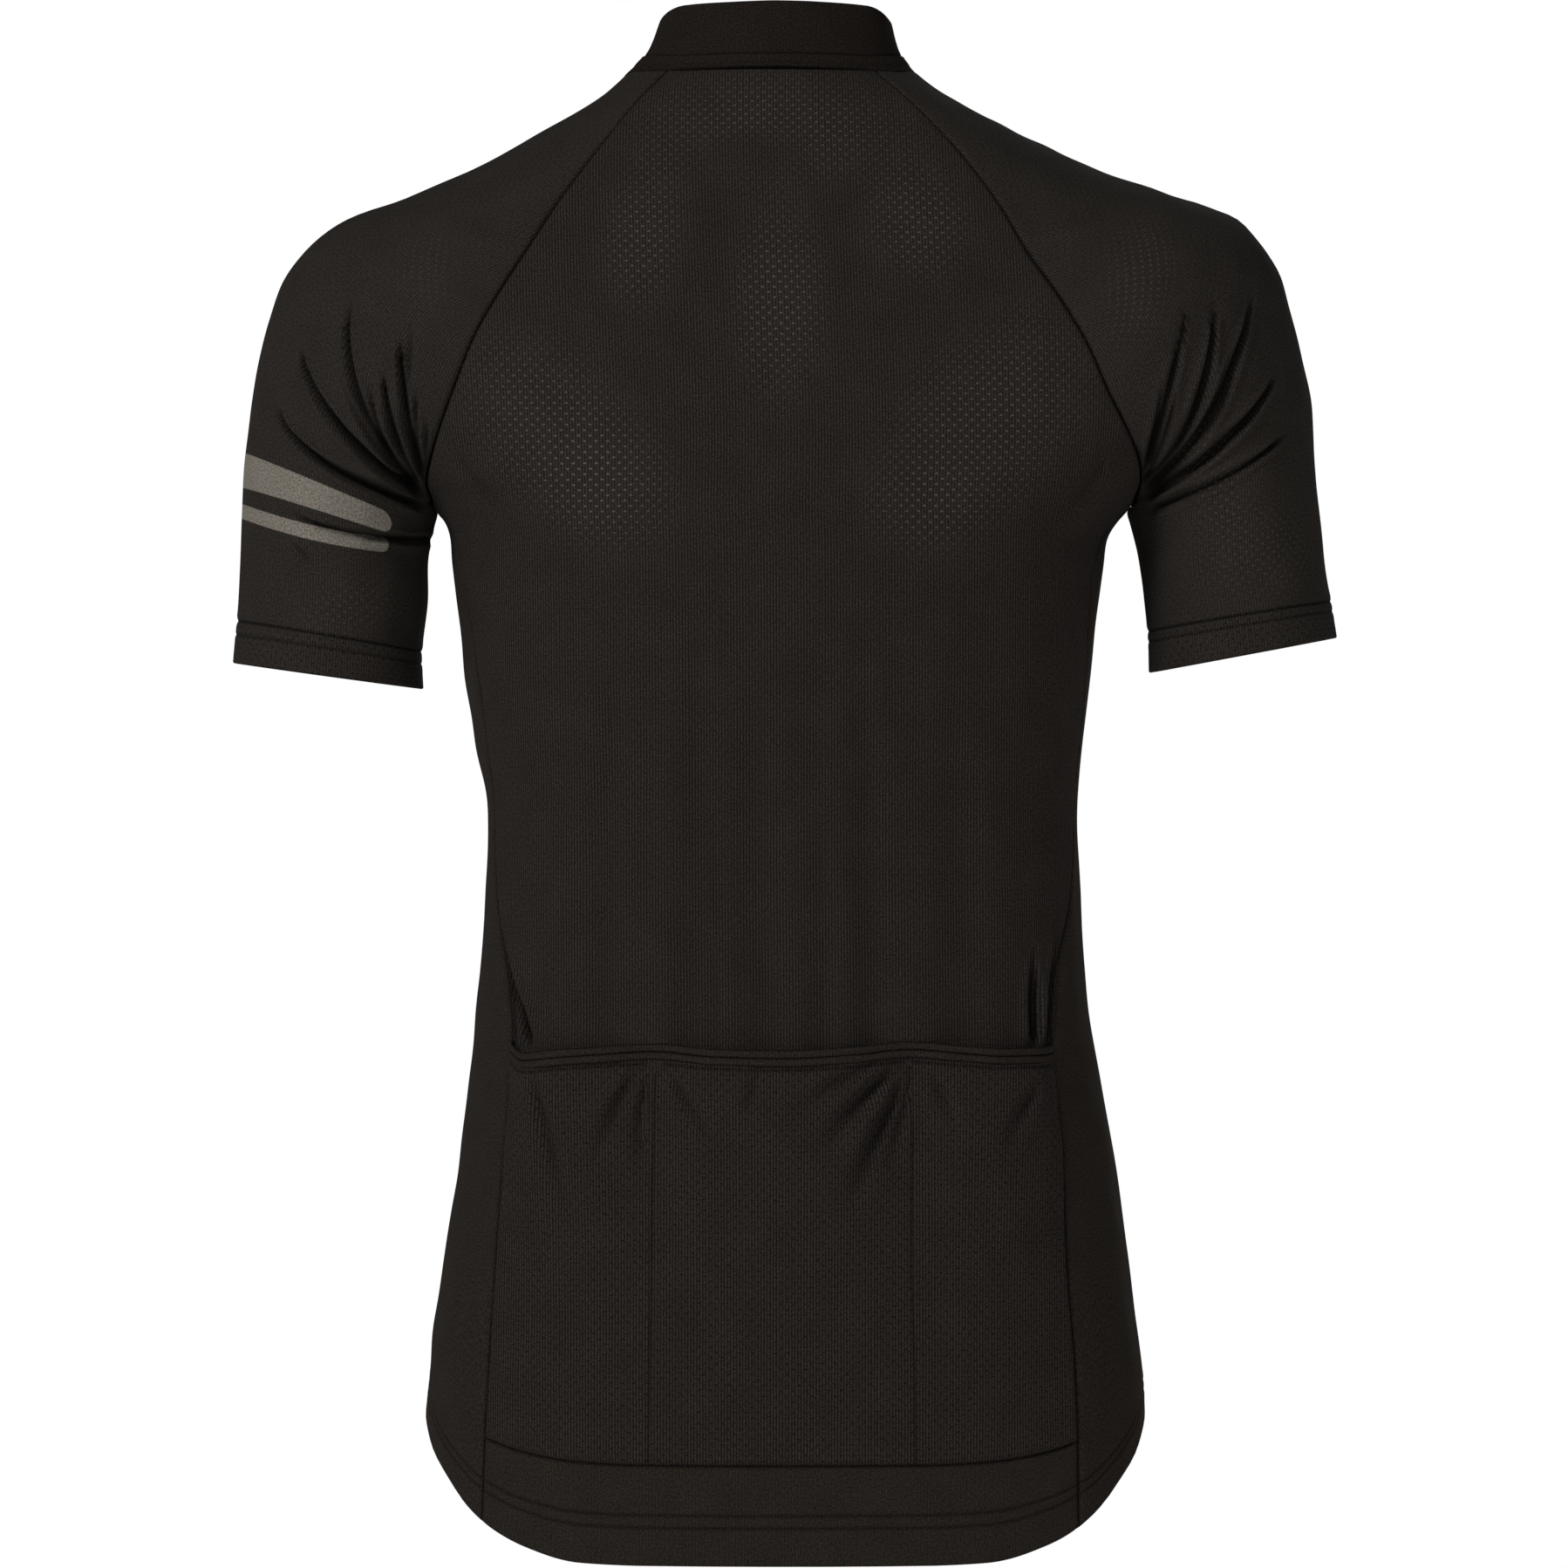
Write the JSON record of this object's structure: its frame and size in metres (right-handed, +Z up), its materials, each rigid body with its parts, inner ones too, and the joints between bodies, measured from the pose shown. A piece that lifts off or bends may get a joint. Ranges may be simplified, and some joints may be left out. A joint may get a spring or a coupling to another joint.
{
  "type": "cycling jersey",
  "caption": "Short-sleeved raglan cycling jersey in its worn, hollow form, with a stand collar, a full front zip, a long tail and stitched rear pockets.",
  "frame": {"origin": "middle of the neck opening at the height of the neck seam at the back, where the wearer's shoulders carry the jersey", "axes": "+Z up, front faces -Y, the wearer's left is +X"},
  "size_m": [0.5562, 0.2267, 0.7743],
  "materials": {
    "eyelet_knit": "matt black polyester eyelet knit, a little see-through",
    "plain_knit": "matt black smooth stretch knit",
    "zip_tape": "black woven polyester tape",
    "zip_metal": "black enamelled die-cast zinc"
  },
  "bodies": {
    "jersey": {"back_panel": "eyelet_knit", "collar": "plain_knit", "cuff_left": "eyelet_knit", "cuff_right": "eyelet_knit", "front_left": "plain_knit", "front_right": "plain_knit", "neck_band": "plain_knit", "pocket_binding": "plain_knit", "pocket_panel": "eyelet_knit", "side_panel_left": "plain_knit", "side_panel_right": "plain_knit", "sleeve_left": "eyelet_knit", "sleeve_right": "eyelet_knit", "tail_band": "plain_knit", "zip_retainer": "zip_metal", "zip_slider": "zip_metal", "zip_tape_left": "zip_tape", "zip_tape_right": "zip_tape"},
    "zip_pull": {"zip_pull": "zip_metal"}
  },
  "joints": [
    {"name": "pull_hinge", "type": "hinge", "parent": "jersey", "child": "zip_pull", "pos_m": [0.0043, -0.06074, -0.04994], "axis": [-1, 0, 0], "range_deg": [0, 165]}
  ]
}
